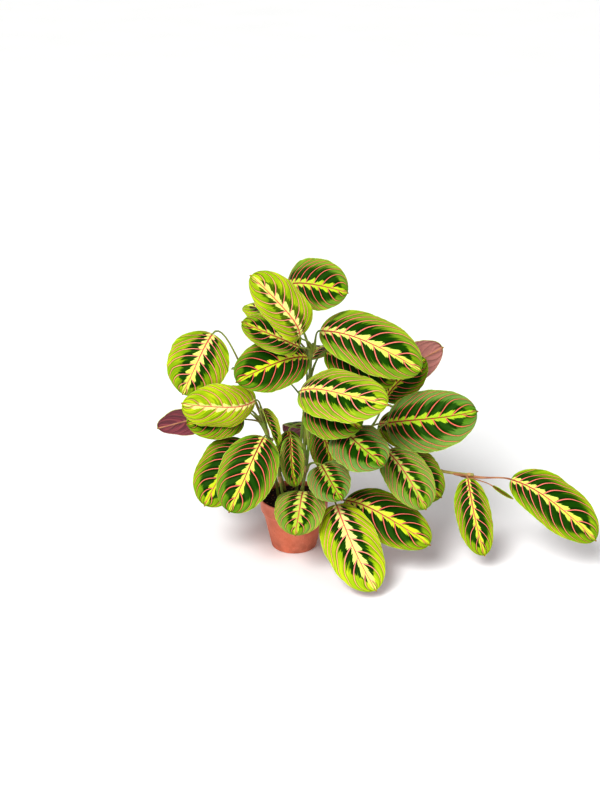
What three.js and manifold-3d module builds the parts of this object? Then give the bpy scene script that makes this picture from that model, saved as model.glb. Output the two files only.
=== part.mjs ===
import * as THREE from "three";
import { mergeVertices } from "three/addons/utils/BufferGeometryUtils.js";
import Module from "manifold-3d";

const wasm = await Module();
wasm.setup();

// Potted prayer plant. Millimetres, +Z up, origin at the middle of the pot's base.
// The photo looks along +Y, so -Y is the front and +X the right-hand side.

// pot: a 10.5 cm nursery pot
const potHeight = 82;
const rimRadius = 52.2;
const collarRadius = 50.4;
const collarHeight = 23;
const bodyRadius = 46.6;
const baseRadius = 34.5;
const wall = 1.3;
const floorThick = 1.8;
const potSides = 40;
const drainRadius = 4.5;
const drainRing = 22;
const drainCount = 6;

// soil
const soilTop = 75.5;
const soilGap = 0.35;
const soilSides = 32;
const holeGap = 0.35;
const stemFoot = 41;
const stemCollar = 77.5;

// stems and leaves
const stemSides = 8;
const stemSpan = 7;
const runnerSpan = 16;
const petioleGap = 0.4;
const bladeThick = 0.9;
const unevenHalves = 0.05; // share by which one half of a blade is wider than the other
const sidewaysBow = 0.035; // how far a midrib swings sideways, as a share of its length
const petioleSteps = 3;

const clamp = (x, a, b) => Math.min(b, Math.max(a, x));
const vec = (p) => new THREE.Vector3(p[0], p[1], p[2]);

// a smooth line through a list of points, t from 0 to 1
function along(points, t) {
  const n = points.length - 1;
  const f = clamp(t, 0, 1) * n;
  const i = Math.min(n - 1, Math.floor(f));
  const k = f - i;
  const a = vec(points[i]);
  const b = vec(points[i + 1]);
  const before = vec(points[Math.max(0, i - 1)]);
  const after = vec(points[Math.min(n, i + 2)]);
  const ma = b.clone().sub(before).multiplyScalar(i > 0 ? 0.5 : 1);
  const mb = after.sub(a).multiplyScalar(i < n - 1 ? 0.5 : 1);
  const k2 = k * k;
  const k3 = k2 * k;
  return a.multiplyScalar(2 * k3 - 3 * k2 + 1)
    .addScaledVector(ma, k3 - 2 * k2 + k)
    .addScaledVector(b, 3 * k2 - 2 * k3)
    .addScaledVector(mb, k3 - k2);
}

function heading(points, t) {
  const e = 0.01;
  return along(points, t + e).sub(along(points, t - e)).normalize();
}

// closed skin over a list of rings that all have the same number of corners;
// the second half of each ring runs back under the first half
function skin(rings, flipUnder) {
  const size = rings[0].length;
  const half = size / 2;
  const position = [];
  const index = [];
  for (const ring of rings) for (const p of ring) position.push(p.x, p.y, p.z);
  for (let i = 0; i < rings.length - 1; i++) {
    for (let k = 0; k < size; k++) {
      const a = i * size + k;
      const b = i * size + (k + 1) % size;
      const c = a + size;
      const d = b + size;
      if (flipUnder && k >= half) index.push(a, b, c, b, d, c);
      else index.push(a, b, d, a, d, c);
    }
  }
  const last = (rings.length - 1) * size;
  for (let j = 0; j < half - 1; j++) {
    const a = j;
    const b = j + 1;
    const c = size - 2 - j;
    const d = size - 1 - j;
    index.push(a, c, b, a, d, c);
    index.push(last + a, last + b, last + c, last + a, last + c, last + d);
  }
  const geometry = new THREE.BufferGeometry();
  geometry.setAttribute("position", new THREE.Float32BufferAttribute(position, 3));
  geometry.setIndex(index);
  return geometry;
}

function toSolid(geometry) {
  const bare = new THREE.BufferGeometry();
  bare.setAttribute("position", geometry.getAttribute("position").clone());
  if (geometry.index) bare.setIndex(geometry.index.clone());
  const merged = mergeVertices(bare, 1e-4);
  return new wasm.Manifold(new wasm.Mesh({
    numProp: 3,
    vertProperties: new Float32Array(merged.getAttribute("position").array),
    triVerts: new Uint32Array(merged.index.array),
  }));
}

function fromSolid(solid) {
  const mesh = solid.getMesh();
  const geometry = new THREE.BufferGeometry();
  geometry.setAttribute("position", new THREE.Float32BufferAttribute(mesh.vertProperties, 3));
  geometry.setIndex(Array.from(mesh.triVerts));
  return geometry;
}

// turned shape about Z, from a closed outline of [radius, height] that starts and ends on the axis
function turned(outline, sides) {
  const position = [];
  const index = [];
  const rows = outline.length;
  position.push(0, 0, outline[0][1]);
  for (let i = 1; i < rows - 1; i++) {
    for (let k = 0; k < sides; k++) {
      const a = (2 * Math.PI * k) / sides;
      position.push(outline[i][0] * Math.cos(a), outline[i][0] * Math.sin(a), outline[i][1]);
    }
  }
  position.push(0, 0, outline[rows - 1][1]);
  const end = 1 + (rows - 2) * sides;
  for (let k = 0; k < sides; k++) {
    const n = (k + 1) % sides;
    index.push(0, 1 + n, 1 + k);
    for (let i = 0; i < rows - 3; i++) {
      const a = 1 + i * sides + k;
      const b = 1 + i * sides + n;
      index.push(a, b, b + sides, a, b + sides, a + sides);
    }
    index.push(end, end - sides + k, end - sides + n);
  }
  const geometry = new THREE.BufferGeometry();
  geometry.setAttribute("position", new THREE.Float32BufferAttribute(position, 3));
  geometry.setIndex(index);
  return geometry;
}

function upright(radius, low, high, x, y, sides) {
  const rod = new THREE.CylinderGeometry(radius, radius, high - low, sides, 1);
  rod.rotateX(Math.PI / 2);
  rod.translate(x, y, (low + high) / 2);
  return toSolid(rod);
}

function paint(name, geometry, color, group) {
  const material = new THREE.MeshStandardMaterial({ color, roughness: 0.6, side: THREE.FrontSide });
  const mesh = new THREE.Mesh(geometry, material);
  mesh.name = name;
  group.add(mesh);
  return mesh;
}

// stems: points from the soil's surface up; r0 and r1 are the radii at the soil and at the top
const stems = {
  stem_front_low: { r0: 2.3, r1: 1.7, at: [[17, -28, stemCollar], [24, -34, 98], [36, -42, 112]] },
  stem_front_mid: {
    r0: 2.6, r1: 1.7,
    at: [[8, -10, stemCollar], [18, -10, 130], [21, -13, 180], [14, -18, 236]],
  },
  stem_front_left: {
    r0: 2.3, r1: 1.6, at: [[-15, -13, stemCollar], [-24, -18, 132], [-33, -22, 182]],
  },
  stem_right: {
    r0: 2.6, r1: 1.7, at: [[28, -4, stemCollar], [48, -2, 122], [80, 2, 160], [116, 8, 184]],
  },
  stem_centre: {
    r0: 2.8, r1: 1.7,
    at: [[3, 12, stemCollar], [8, 14, 140], [14, 18, 200], [22, 20, 262], [28, 20, 318]],
  },
  stem_left: {
    r0: 2.5, r1: 1.6, at: [[-24, 10, stemCollar], [-34, 8, 155], [-46, 6, 218]],
  },
  stem_back: {
    r0: 2.6, r1: 1.7, at: [[14, 30, stemCollar], [17, 42, 155], [20, 58, 240]],
  },
  stem_back_left: {
    r0: 2.3, r1: 1.6, at: [[-14, 28, stemCollar], [-32, 42, 136], [-54, 62, 186]],
  },
  runner: {
    r0: 2.8, r1: 2.3,
    at: [[34, 16, stemCollar], [70, 26, 106], [130, 32, 119], [190, 22, 117],
      [240, -6, 121], [266, -20, 125]],
  },
};

// leaves: stem and place on it, foot and tip of the blade, width, facing, arch of the
// midrib, fold along it, droop of the halves, wave of the edge with its count and start
const leaves = {
  leaf_pot_right: {
    stem: "stem_front_low", t: 0.9, foot: [62, -64, 98], tip: [117, -170, 14],
    wide: 80, face: [0.1, -1, 0.75], arch: 9, fold: 0.1, droop: 0.16,
    wave: 2.8, waves: 2, start: 0.3, fine: 1,
  },
  leaf_pot_right_back: {
    stem: "stem_front_low", t: 0.6, foot: [76, -34, 90], tip: [197, -112, 56],
    wide: 76, face: [0, -1, 1.1], arch: 12, fold: 0.06, droop: 0.2,
    wave: 2.4, waves: 2, start: 1.2, fine: 1,
  },
  leaf_pot_front: {
    stem: "stem_front_low", t: 0.3, foot: [14, -58, 116], tip: [2, -132, 82],
    wide: 72, face: [-0.1, -0.9, 1], arch: 10, fold: 0.12, droop: 0.18,
    wave: 2.3, waves: 2, start: 2.2, fine: 1,
  },
  leaf_small: {
    stem: "stem_front_mid", t: 0.36, foot: [40, -44, 152], tip: [69, -108, 126],
    wide: 62, face: [-0.1, -1, 0.9], arch: 8, fold: 0.14, droop: 0.16,
    wave: 2.1, waves: 2, start: 0.8, fine: 1,
  },
  leaf_folded: {
    stem: "stem_front_mid", t: 0.52, foot: [-5, -30, 190], tip: [2, -58, 124],
    wide: 36, face: [0.2, -1, 0.3], arch: 5, fold: 0.35, droop: 0,
    wave: 1.8, waves: 2, start: 0.2, fine: 0,
  },
  leaf_left_big: {
    stem: "stem_front_left", t: 0.97, foot: [-43, -46, 198], tip: [-92, -118, 112],
    wide: 84, face: [-0.15, -1, 0.5], arch: 12, fold: 0.06, droop: 0.18,
    wave: 2.6, waves: 2, start: 1.1, fine: 1,
  },
  leaf_left_behind: {
    stem: "stem_front_left", t: 0.72, foot: [-72, -14, 178], tip: [-130, -70, 98],
    wide: 80, face: [-0.35, -1, 0.4], arch: 10, fold: 0.05, droop: 0.14,
    wave: 2.4, waves: 2, start: 2.4, fine: 0,
  },
  leaf_mid_right: {
    stem: "stem_right", t: 0.5, foot: [68, -34, 200], tip: [128, -112, 182],
    wide: 76, face: [0, -0.8, 1], arch: 12, fold: 0.05, droop: 0.2,
    wave: 2.8, waves: 2, start: 0.5, fine: 1,
  },
  leaf_right_low: {
    stem: "stem_right", t: 0.8, foot: [136, -22, 164], tip: [190, -98, 106],
    wide: 66, face: [0.1, -1, 0.6], arch: 10, fold: 0.06, droop: 0.16,
    wave: 2.1, waves: 2, start: 1.9, fine: 1,
  },
  leaf_right_behind: {
    stem: "stem_right", t: 0.9, foot: [153, 5, 151], tip: [218, -38, 96],
    wide: 70, face: [0.2, -1, 0.7], arch: 9, fold: 0.05, droop: 0.16,
    wave: 2.1, waves: 2, start: 0.1, fine: 0,
  },
  leaf_right_big: {
    stem: "stem_right", t: 0.98, foot: [138, 10, 196], tip: [266, -36, 234],
    wide: 92, face: [0.1, -1, 0.7], arch: 12, fold: 0.04, droop: 0.16,
    wave: 3.1, waves: 2, start: 2.8, fine: 1,
  },
  leaf_right_under: {
    stem: "stem_right", t: 0.7, foot: [128, 48, 178], tip: [238, 22, 168],
    wide: 78, face: [0.1, -0.7, 1], arch: 11, fold: 0.05, droop: 0.16,
    wave: 2.4, waves: 2, start: 0.7, fine: 0,
  },
  leaf_right_upper: {
    stem: "stem_right", t: 0.94, foot: [136, 34, 222], tip: [196, 44, 284],
    wide: 62, face: [-0.3, -1, 0.6], arch: 10, fold: 0.05, droop: 0.14,
    wave: 2.3, waves: 2, start: 1.8, fine: 0,
  },
  leaf_right_purple: {
    stem: "stem_right", t: 0.62, foot: [104, 72, 232], tip: [226, 90, 286],
    wide: 74, face: [0.1, 1, 0.3], arch: -9, fold: 0.05, droop: 0.14,
    wave: 2.8, waves: 2, start: 2.5, fine: 0,
  },
  leaf_centre_bright: {
    stem: "stem_front_mid", t: 0.98, foot: [9, -30, 263], tip: [132, -106, 272],
    wide: 84, face: [0.05, -1, 1.1], arch: 13, fold: 0.05, droop: 0.18,
    wave: 2.6, waves: 2, start: 0.9, fine: 1,
  },
  leaf_under_bright: {
    stem: "stem_front_mid", t: 0.74, foot: [16, -26, 232], tip: [97, -74, 224],
    wide: 76, face: [0, -0.9, 1], arch: 10, fold: 0.05, droop: 0.16,
    wave: 2.4, waves: 2, start: 2.1, fine: 0,
  },
  leaf_top_big: {
    stem: "stem_centre", t: 0.98, foot: [38, 12, 340], tip: [184, -18, 288],
    wide: 88, face: [0, -1, 0.9], arch: 14, fold: 0.04, droop: 0.16,
    wave: 3, waves: 2, start: 1.6, fine: 1,
  },
  leaf_under_top: {
    stem: "stem_centre", t: 0.78, foot: [48, 34, 300], tip: [150, 12, 262],
    wide: 66, face: [0, -1, 0.9], arch: 10, fold: 0.05, droop: 0.16,
    wave: 2.3, waves: 2, start: 0.3, fine: 0,
  },
  leaf_top_left: {
    stem: "stem_centre", t: 0.62, foot: [20, 4, 302], tip: [-82, -56, 286],
    wide: 78, face: [0, -1, 0.8], arch: 11, fold: 0.05, droop: 0.18,
    wave: 2.6, waves: 2, start: 0.4, fine: 1,
  },
  leaf_crown: {
    stem: "stem_centre", t: 0.95, foot: [9, -30, 347], tip: [-60, -56, 445],
    wide: 66, face: [0.4, -1, 0.4], arch: 14, fold: 0.28, droop: 0.18,
    wave: 3.2, waves: 2, start: 2.6, fine: 1,
  },
  leaf_twisted: {
    stem: "stem_centre", t: 0.92, foot: [7, -17, 326], tip: [-74, -24, 366],
    wide: 50, face: [-0.3, -1, 0.6], arch: 10, fold: 0.34, droop: 0.1,
    wave: 3, waves: 2, start: 1.0, fine: 0,
  },
  leaf_top_back: {
    stem: "stem_centre", t: 0.92, foot: [-9, 36, 402], tip: [78, 14, 396],
    wide: 76, face: [0.05, -1, 0.5], arch: 14, fold: 0.05, droop: 0.16,
    wave: 2.6, waves: 2, start: 1.7, fine: 0,
  },
  leaf_lime: {
    stem: "stem_left", t: 0.98, foot: [-56, -12, 241], tip: [-160, -58, 256],
    wide: 76, face: [0.05, -1, -0.15], arch: 10, fold: 0.05, droop: 0.18,
    wave: 2.4, waves: 2, start: 1.3, fine: 1,
  },
  leaf_under_lime: {
    stem: "stem_left", t: 0.8, foot: [-74, 6, 204], tip: [-156, -30, 210],
    wide: 66, face: [0, -1, 0.9], arch: 9, fold: 0.05, droop: 0.16,
    wave: 2.1, waves: 2, start: 0.7, fine: 0,
  },
  leaf_left_upper: {
    stem: "stem_left", t: 0.9, foot: [-117, 4, 338], tip: [-160, -26, 256],
    wide: 88, face: [-0.1, -1, 0.4], arch: 14, fold: 0.05, droop: 0.18,
    wave: 2.6, waves: 2, start: 2.2, fine: 1,
  },
  leaf_left_purple: {
    stem: "stem_left", t: 0.7, foot: [-98, 28, 214], tip: [-204, 16, 184],
    wide: 60, face: [-0.2, 1, 0.4], arch: -7, fold: 0.05, droop: 0.14,
    wave: 2.4, waves: 2, start: 1.5, fine: 0,
  },
  leaf_left_low: {
    stem: "stem_left", t: 0.4, foot: [-62, 30, 146], tip: [-146, 46, 92],
    wide: 70, face: [-1, -0.2, 0.7], arch: 11, fold: 0.05, droop: 0.16,
    wave: 2.3, waves: 2, start: 1.1, fine: 0,
  },
  leaf_rolled: {
    stem: "stem_left", t: 0.6, foot: [-47, -12, 226], tip: [-24, -42, 181],
    wide: 26, face: [0.8, -1, 0.4], arch: 5, fold: 0.9, droop: 0,
    wave: 1.1, waves: 2, start: 0.2, fine: 0,
  },
  leaf_runner_hanging: {
    stem: "runner", t: 0.84, foot: [256, -34, 126], tip: [279, -92, 28],
    wide: 52, face: [0, -1, 0.45], arch: 7, fold: 0.08, droop: 0.14,
    wave: 2.1, waves: 2, start: 0.6, fine: 1,
  },
  leaf_runner_end: {
    stem: "runner", t: 0.98, foot: [318, -46, 130], tip: [437, -102, 58],
    wide: 76, face: [-0.1, -1, 1], arch: 13, fold: 0.1, droop: 0.18,
    wave: 2.6, waves: 2, start: 1.5, fine: 1,
  },
  leaf_runner_bud: {
    stem: "runner", t: 0.9, foot: [292, -44, 118], tip: [320, -62, 106],
    wide: 8, face: [0, -1, 0.6], arch: 2, fold: 0.9, droop: 0,
    wave: 0, waves: 2, start: 0, fine: 0,
  },
  leaf_back_top: {
    stem: "stem_back", t: 0.98, foot: [22, 82, 268], tip: [84, 188, 246],
    wide: 80, face: [0.2, 0.7, 1], arch: 13, fold: 0.05, droop: 0.18,
    wave: 2.4, waves: 2, start: 0.2, fine: 0,
  },
  leaf_back_left_top: {
    stem: "stem_back", t: 0.8, foot: [-8, 66, 240], tip: [-90, 132, 236],
    wide: 78, face: [-0.3, 0.5, 1], arch: 12, fold: 0.05, droop: 0.18,
    wave: 2.4, waves: 2, start: 1.4, fine: 0,
  },
  leaf_back_right: {
    stem: "stem_back", t: 0.6, foot: [56, 70, 196], tip: [152, 132, 170],
    wide: 80, face: [0.5, 0.6, 1], arch: 13, fold: 0.05, droop: 0.18,
    wave: 2.6, waves: 2, start: 2.3, fine: 0,
  },
  leaf_back_low: {
    stem: "stem_back", t: 0.3, foot: [14, 82, 156], tip: [22, 178, 96],
    wide: 76, face: [0, 1, 0.7], arch: 12, fold: 0.05, droop: 0.16,
    wave: 2.4, waves: 2, start: 0.9, fine: 0,
  },
  leaf_back_left: {
    stem: "stem_back_left", t: 0.98, foot: [-76, 78, 196], tip: [-164, 134, 168],
    wide: 76, face: [-0.5, 0.5, 1], arch: 12, fold: 0.05, droop: 0.18,
    wave: 2.4, waves: 2, start: 2.0, fine: 0,
  },
  leaf_back_left_low: {
    stem: "stem_back_left", t: 0.6, foot: [-50, 80, 132], tip: [-96, 152, 70],
    wide: 70, face: [-0.5, 1, 0.6], arch: 11, fold: 0.05, droop: 0.16,
    wave: 2.3, waves: 2, start: 0.5, fine: 0,
  },
  leaf_back_right_low: {
    stem: "stem_right", t: 0.4, foot: [98, 60, 134], tip: [152, 120, 84],
    wide: 72, face: [0.6, 1, 0.7], arch: 11, fold: 0.05, droop: 0.16,
    wave: 2.3, waves: 2, start: 1.7, fine: 0,
  },
  leaf_back_crown: {
    stem: "stem_centre", t: 0.88, foot: [-8, 48, 330], tip: [-74, 104, 346],
    wide: 68, face: [-0.4, 0.3, 1], arch: 12, fold: 0.05, droop: 0.18,
    wave: 2.4, waves: 2, start: 0.6, fine: 0,
  },
  leaf_inner_left: {
    stem: "stem_back", t: 0.62, foot: [-8, 54, 164], tip: [-12, 52, 92],
    wide: 44, face: [0.1, -1, 0.4], arch: 8, fold: 0.05, droop: 0.14,
    wave: 1.3, waves: 2, start: 1.2, fine: 0,
  },
  leaf_inner_right: {
    stem: "stem_back", t: 0.5, foot: [38, 46, 176], tip: [62, 38, 100],
    wide: 56, face: [0, -1, 0.4], arch: 8, fold: 0.05, droop: 0.14,
    wave: 2.3, waves: 2, start: 2.0, fine: 0,
  },
};

// half width of the blade at u, 0 at the foot and 1 at the tip
function halfWidth(leaf, u, v) {
  const oval = Math.sqrt(Math.max(0, 1 - Math.pow(Math.abs(2 * Math.pow(u, 0.94) - 1), 2.15)));
  const uneven = 1 + unevenHalves * Math.sin(3 * leaf.start + (v > 0 ? 0 : 2.4));
  return Math.max(leaf.wide / 2 * oval * uneven, u < 0.5 ? 1.5 : 0.7);
}

// a point of the blade's middle sheet, v from -1 to 1 across it, and the way it faces
function bladeAxes(leaf) {
  const foot = vec(leaf.foot);
  const run = vec(leaf.tip).sub(foot);
  const length = run.length();
  const ahead = run.clone().normalize();
  const up = vec(leaf.face).addScaledVector(ahead, -vec(leaf.face).dot(ahead)).normalize();
  return { foot, length, ahead, up, beside: ahead.clone().cross(up) };
}

function midrib(leaf, axes, u) {
  const rise = leaf.arch * 4 * u * (1 - u) + leaf.arch * 0.5 * Math.sin(2 * Math.PI * u) * (1 - u);
  const sway = sidewaysBow * axes.length * Math.sin(2.3 * leaf.start + 1) * 4 * u * (1 - u);
  return axes.foot.clone().addScaledVector(axes.ahead, axes.length * u)
    .addScaledVector(axes.up, rise).addScaledVector(axes.beside, sway);
}

function bladeFrame(leaf, axes, u) {
  const e = 0.01;
  const forward = midrib(leaf, axes, Math.min(1, u + e))
    .sub(midrib(leaf, axes, Math.max(0, u - e))).normalize();
  const side = forward.clone().cross(axes.up).normalize();
  const up = side.clone().cross(forward).normalize();
  return { forward, side, up };
}

function bladePoint(leaf, axes, u, v) {
  const frame = bladeFrame(leaf, axes, u);
  const half = halfWidth(leaf, u, v);
  const out = Math.abs(v);
  const across = v * half;
  const swing = Math.sin(2 * Math.PI * (leaf.waves * u + 0.16 * leaf.start) + leaf.start + (v > 0 ? 0 : 2.1));
  const lift = leaf.fold * out * half
    - leaf.droop * across * across / (leaf.wide / 2)
    + leaf.wave * swing * out * out * Math.sin(Math.PI * u);
  const squeeze = Math.sqrt(Math.max(0.2, 1 - leaf.fold * leaf.fold * 0.6));
  return {
    at: midrib(leaf, axes, u).addScaledVector(frame.side, across * squeeze).addScaledVector(frame.up, lift),
    frame,
  };
}

function leafGeometry(leaf) {
  const axes = bladeAxes(leaf);
  const cols = leaf.fine ? 6 : 4;
  const rows = leaf.fine ? 9 : 8;
  const stem = stems[leaf.stem];
  const begin = along(stem.at, leaf.t);
  const climb = heading(stem.at, leaf.t);
  const away = axes.foot.clone().sub(begin);
  const out = away.clone().addScaledVector(climb, -away.dot(climb)).normalize();
  const stemR = stem.r0 + (stem.r1 - stem.r0) * leaf.t;
  const r0 = 1.5;
  const r1 = 1.05;
  begin.addScaledVector(out, stemR + r0 + petioleGap);
  const reach = axes.foot.distanceTo(begin);
  const first = bladeFrame(leaf, axes, 0);
  const p1 = begin.clone().addScaledVector(climb, reach * 0.36).addScaledVector(out, reach * 0.06);
  const p2 = axes.foot.clone().addScaledVector(first.forward, -reach * 0.3);
  const curve = new THREE.CubicBezierCurve3(begin, p1, p2, axes.foot);
  const rings = [];
  for (let i = 0; i < petioleSteps; i++) {
    const t = i / petioleSteps;
    const at = curve.getPoint(t);
    const ahead = curve.getTangent(t);
    const side = ahead.clone().cross(first.up).normalize();
    const up = side.clone().cross(ahead).normalize();
    const r = r0 + (r1 - r0) * t;
    const ring = [];
    for (let k = 0; k < 2 * (cols + 1); k++) {
      const a = Math.PI - Math.PI * (k + 0.5) / (cols + 1);
      ring.push(at.clone().addScaledVector(side, r * Math.cos(a)).addScaledVector(up, r * Math.sin(a)));
    }
    rings.push(ring);
  }
  for (let i = 0; i <= rows; i++) {
    const u = (1 - Math.cos(Math.PI * i / rows)) / 2;
    const top = [];
    const under = [];
    for (let j = 0; j <= cols; j++) {
      const v = -1 + 2 * j / cols;
      const p = bladePoint(leaf, axes, u, v);
      top.push(p.at.clone().addScaledVector(p.frame.up, bladeThick / 2));
      under.unshift(p.at.clone().addScaledVector(p.frame.up, -bladeThick / 2));
    }
    rings.push([...top, ...under]);
  }
  return skin(rings, true);
}

function stemRing(at, ahead, r) {
  const side = ahead.clone().cross(vec([0.2, -1, 0.1])).normalize();
  const up = side.clone().cross(ahead).normalize();
  const ring = [];
  for (let k = 0; k < stemSides; k++) {
    const a = Math.PI - 2 * Math.PI * (k + 0.5) / stemSides;
    ring.push(at.clone().addScaledVector(side, r * Math.cos(a)).addScaledVector(up, r * Math.sin(a)));
  }
  return ring;
}

function stemGeometry(stem) {
  const upward = vec([0, 0, 1]);
  const [x, y, z] = stem.at[0];
  const rings = [stemRing(vec([x, y, stemFoot]), upward, stem.r0), stemRing(vec([x, y, z]), upward, stem.r0)];
  const span = stem === stems.runner ? runnerSpan : stemSpan;
  for (let i = 1; i <= span; i++) {
    const t = i / span;
    rings.push(stemRing(along(stem.at, t), heading(stem.at, t), stem.r0 + (stem.r1 - stem.r0) * t));
  }
  return skin(rings, false);
}

function stemHole(stem) {
  const upward = vec([0, 0, 1]);
  const [x, y, z] = stem.at[0];
  const r = stem.r0 + holeGap;
  return toSolid(skin([stemRing(vec([x, y, stemFoot - holeGap]), upward, r),
    stemRing(vec([x, y, z + 4]), upward, r)], false));
}

const root = new THREE.Group();
root.name = "potted_prayer_plant";

// pot: outer wall from the base up over the lip and down the inside
const collarLow = potHeight - collarHeight;
const potOutline = [
  [0, 0],
  [baseRadius - 2.5, 0],
  [baseRadius - 0.8, 0.8],
  [baseRadius, 2.6],
  [bodyRadius - 1.6, collarLow - 8],
  [bodyRadius - 1.0, collarLow - 7.2],
  [bodyRadius, collarLow - 2.6],
  [collarRadius - 0.5, collarLow + 1.6],
  [collarRadius, collarLow + 3],
  [collarRadius + 0.8, potHeight - 4],
  [rimRadius - 0.2, potHeight - 2.8],
  [rimRadius, potHeight - 1.2],
  [rimRadius - 0.7, potHeight],
  [rimRadius - 2, potHeight - 0.5],
  [collarRadius - wall, collarLow + 3.6],
  [bodyRadius - wall, collarLow - 2],
  [baseRadius - wall, floorThick + 2],
  [baseRadius - wall - 2, floorThick],
  [0, floorThick],
];
let potSolid = toSolid(turned(potOutline, potSides));
for (let i = 0; i < drainCount; i++) {
  const a = (2 * Math.PI * (i + 0.5)) / drainCount;
  const hole = upright(drainRadius, -1, floorThick + 1, drainRing * Math.cos(a), drainRing * Math.sin(a), 12);
  potSolid = potSolid.subtract(hole);
}
paint("pot", fromSolid(potSolid), 0xc96a45, root);

// soil: fills the pot to just under the lip, with a plain hole for each stem
const soilOutline = [
  [0, floorThick + soilGap],
  [baseRadius - wall - 2.4, floorThick + soilGap],
  [baseRadius - wall - soilGap, floorThick + 2.4],
  [bodyRadius - wall - soilGap - 0.15, collarLow - 1.8],
  [collarRadius - wall - soilGap - 0.1, collarLow + 3.9],
  [collarRadius - wall - soilGap + 0.2, soilTop - 1.6],
  [36, soilTop - 0.4],
  [20, soilTop + 0.8],
  [0, soilTop + 0.6],
];
let soilSolid = toSolid(turned(soilOutline, soilSides));
for (const stem of Object.values(stems)) soilSolid = soilSolid.subtract(stemHole(stem));
paint("soil", fromSolid(soilSolid), 0x2a1c14, root);

const stemGroup = new THREE.Group();
stemGroup.name = "stems";
root.add(stemGroup);
for (const [name, stem] of Object.entries(stems)) {
  paint(name, stemGeometry(stem), 0x7c8a3a, stemGroup);
}

const leafGroup = new THREE.Group();
leafGroup.name = "leaves";
root.add(leafGroup);
for (const [name, leaf] of Object.entries(leaves)) {
  paint(name, leafGeometry(leaf), 0x5d8a2c, leafGroup);
}

export default root;
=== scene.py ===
import math
import random

import bmesh
import bpy
from mathutils import Matrix, Vector, noise


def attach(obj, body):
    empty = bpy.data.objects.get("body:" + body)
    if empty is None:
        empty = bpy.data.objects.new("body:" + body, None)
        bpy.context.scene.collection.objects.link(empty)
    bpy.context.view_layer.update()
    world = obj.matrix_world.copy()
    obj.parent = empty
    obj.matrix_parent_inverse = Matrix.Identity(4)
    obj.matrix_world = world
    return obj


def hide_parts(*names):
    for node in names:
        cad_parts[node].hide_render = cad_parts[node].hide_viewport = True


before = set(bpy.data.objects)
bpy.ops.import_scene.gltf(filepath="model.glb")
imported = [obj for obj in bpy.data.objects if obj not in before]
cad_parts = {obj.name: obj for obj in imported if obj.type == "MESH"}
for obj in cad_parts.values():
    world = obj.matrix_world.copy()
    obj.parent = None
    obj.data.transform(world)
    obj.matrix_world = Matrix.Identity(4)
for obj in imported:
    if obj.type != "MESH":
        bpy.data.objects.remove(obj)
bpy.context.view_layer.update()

# Potted prayer plant. Lengths in the dictionaries are millimetres; mm turns them to metres.
mm = 0.001


# Small helpers

def deselectAll():
    bpy.ops.object.select_all(action="DESELECT")


def pick(item):
    deselectAll()
    item.select_set(True)
    bpy.context.view_layer.objects.active = item


def applyModifiers(item):
    pick(item)
    for modifier in list(item.modifiers):
        bpy.ops.object.modifier_apply(modifier=modifier.name)


def joinAll(first, others):
    deselectAll()
    for item in others:
        item.select_set(True)
    first.select_set(True)
    bpy.context.view_layer.objects.active = first
    bpy.ops.object.join()
    return first


def dress(item, material):
    item.data.materials.clear()
    item.data.materials.append(material)


def smoothBelow(degrees):
    bpy.ops.object.shade_smooth_by_angle(angle=math.radians(degrees))


def closeBlock():
    # all faces outwards, then back to object mode
    bpy.ops.mesh.select_all(action="SELECT")
    bpy.ops.mesh.normals_make_consistent(inside=False)
    bpy.ops.object.mode_set(mode="OBJECT")


def camelName(node):
    words = node.split("_")
    return words[0] + "".join(word.capitalize() for word in words[1:])


def mapRange(value, low, high):
    # 0 at low, 1 at high, held there
    return min(1.0, max(0.0, (value - low) / (high - low)))


# Node helpers: put links or sets one socket; the others add a node and hand back its output

def put(socket, value):
    if isinstance(value, bpy.types.NodeSocket):
        socket.id_data.links.new(value, socket)
    elif value is not None:
        socket.default_value = value


def newNode(kind, *values):
    # in the tree that the first linked value belongs to
    tree = next(value.id_data for value in values if isinstance(value, bpy.types.NodeSocket))
    return tree.nodes.new(kind)


def calc(operation, first, second=None, clamp=False):
    node = newNode("ShaderNodeMath", first, second)
    node.operation = operation
    node.use_clamp = clamp
    put(node.inputs[0], first)
    put(node.inputs[1], second)
    return node.outputs[0]


def times(first, *others):
    for other in others:
        first = calc("MULTIPLY", first, other)
    return first


def plus(first, *others):
    for other in others:
        first = calc("ADD", first, other)
    return first


def minus(first, second):
    return calc("SUBTRACT", first, second)


def ease(value, low, high):
    # 0 at low, 1 at high, smooth between
    node = newNode("ShaderNodeMapRange", value)
    node.interpolation_type = "SMOOTHSTEP"
    put(node.inputs["Value"], value)
    put(node.inputs["From Min"], low)
    put(node.inputs["From Max"], high)
    return node.outputs["Result"]


def blend(amount, first, second):
    # colours: the first at 0, the second at 1
    node = newNode("ShaderNodeMix", amount)
    node.data_type = "RGBA"
    put(node.inputs[0], amount)
    put(node.inputs[6], first)
    put(node.inputs[7], second)
    return node.outputs[2]


def blendValues(amount, first, second):
    node = newNode("ShaderNodeMix", amount)
    put(node.inputs[0], amount)
    put(node.inputs[2], first)
    put(node.inputs[3], second)
    return node.outputs[0]


def pack3(*parts):
    node = newNode("ShaderNodeCombineXYZ", *parts)
    for socket, part in zip(node.inputs, parts):
        put(socket, part)
    return node.outputs[0]


def unpack3(vector):
    node = newNode("ShaderNodeSeparateXYZ", vector)
    put(node.inputs[0], vector)
    return node.outputs


def readAttribute(tree, name):
    node = tree.nodes.new("ShaderNodeAttribute")
    node.attribute_name = name
    return unpack3(node.outputs["Vector"])


def cloud(vector, scale, detail=2.0, roughness=0.5):
    node = newNode("ShaderNodeTexNoise", vector)
    put(node.inputs["Vector"], vector)
    node.inputs["Scale"].default_value = scale
    node.inputs["Detail"].default_value = detail
    node.inputs["Roughness"].default_value = roughness
    return node.outputs["Fac"]


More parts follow.
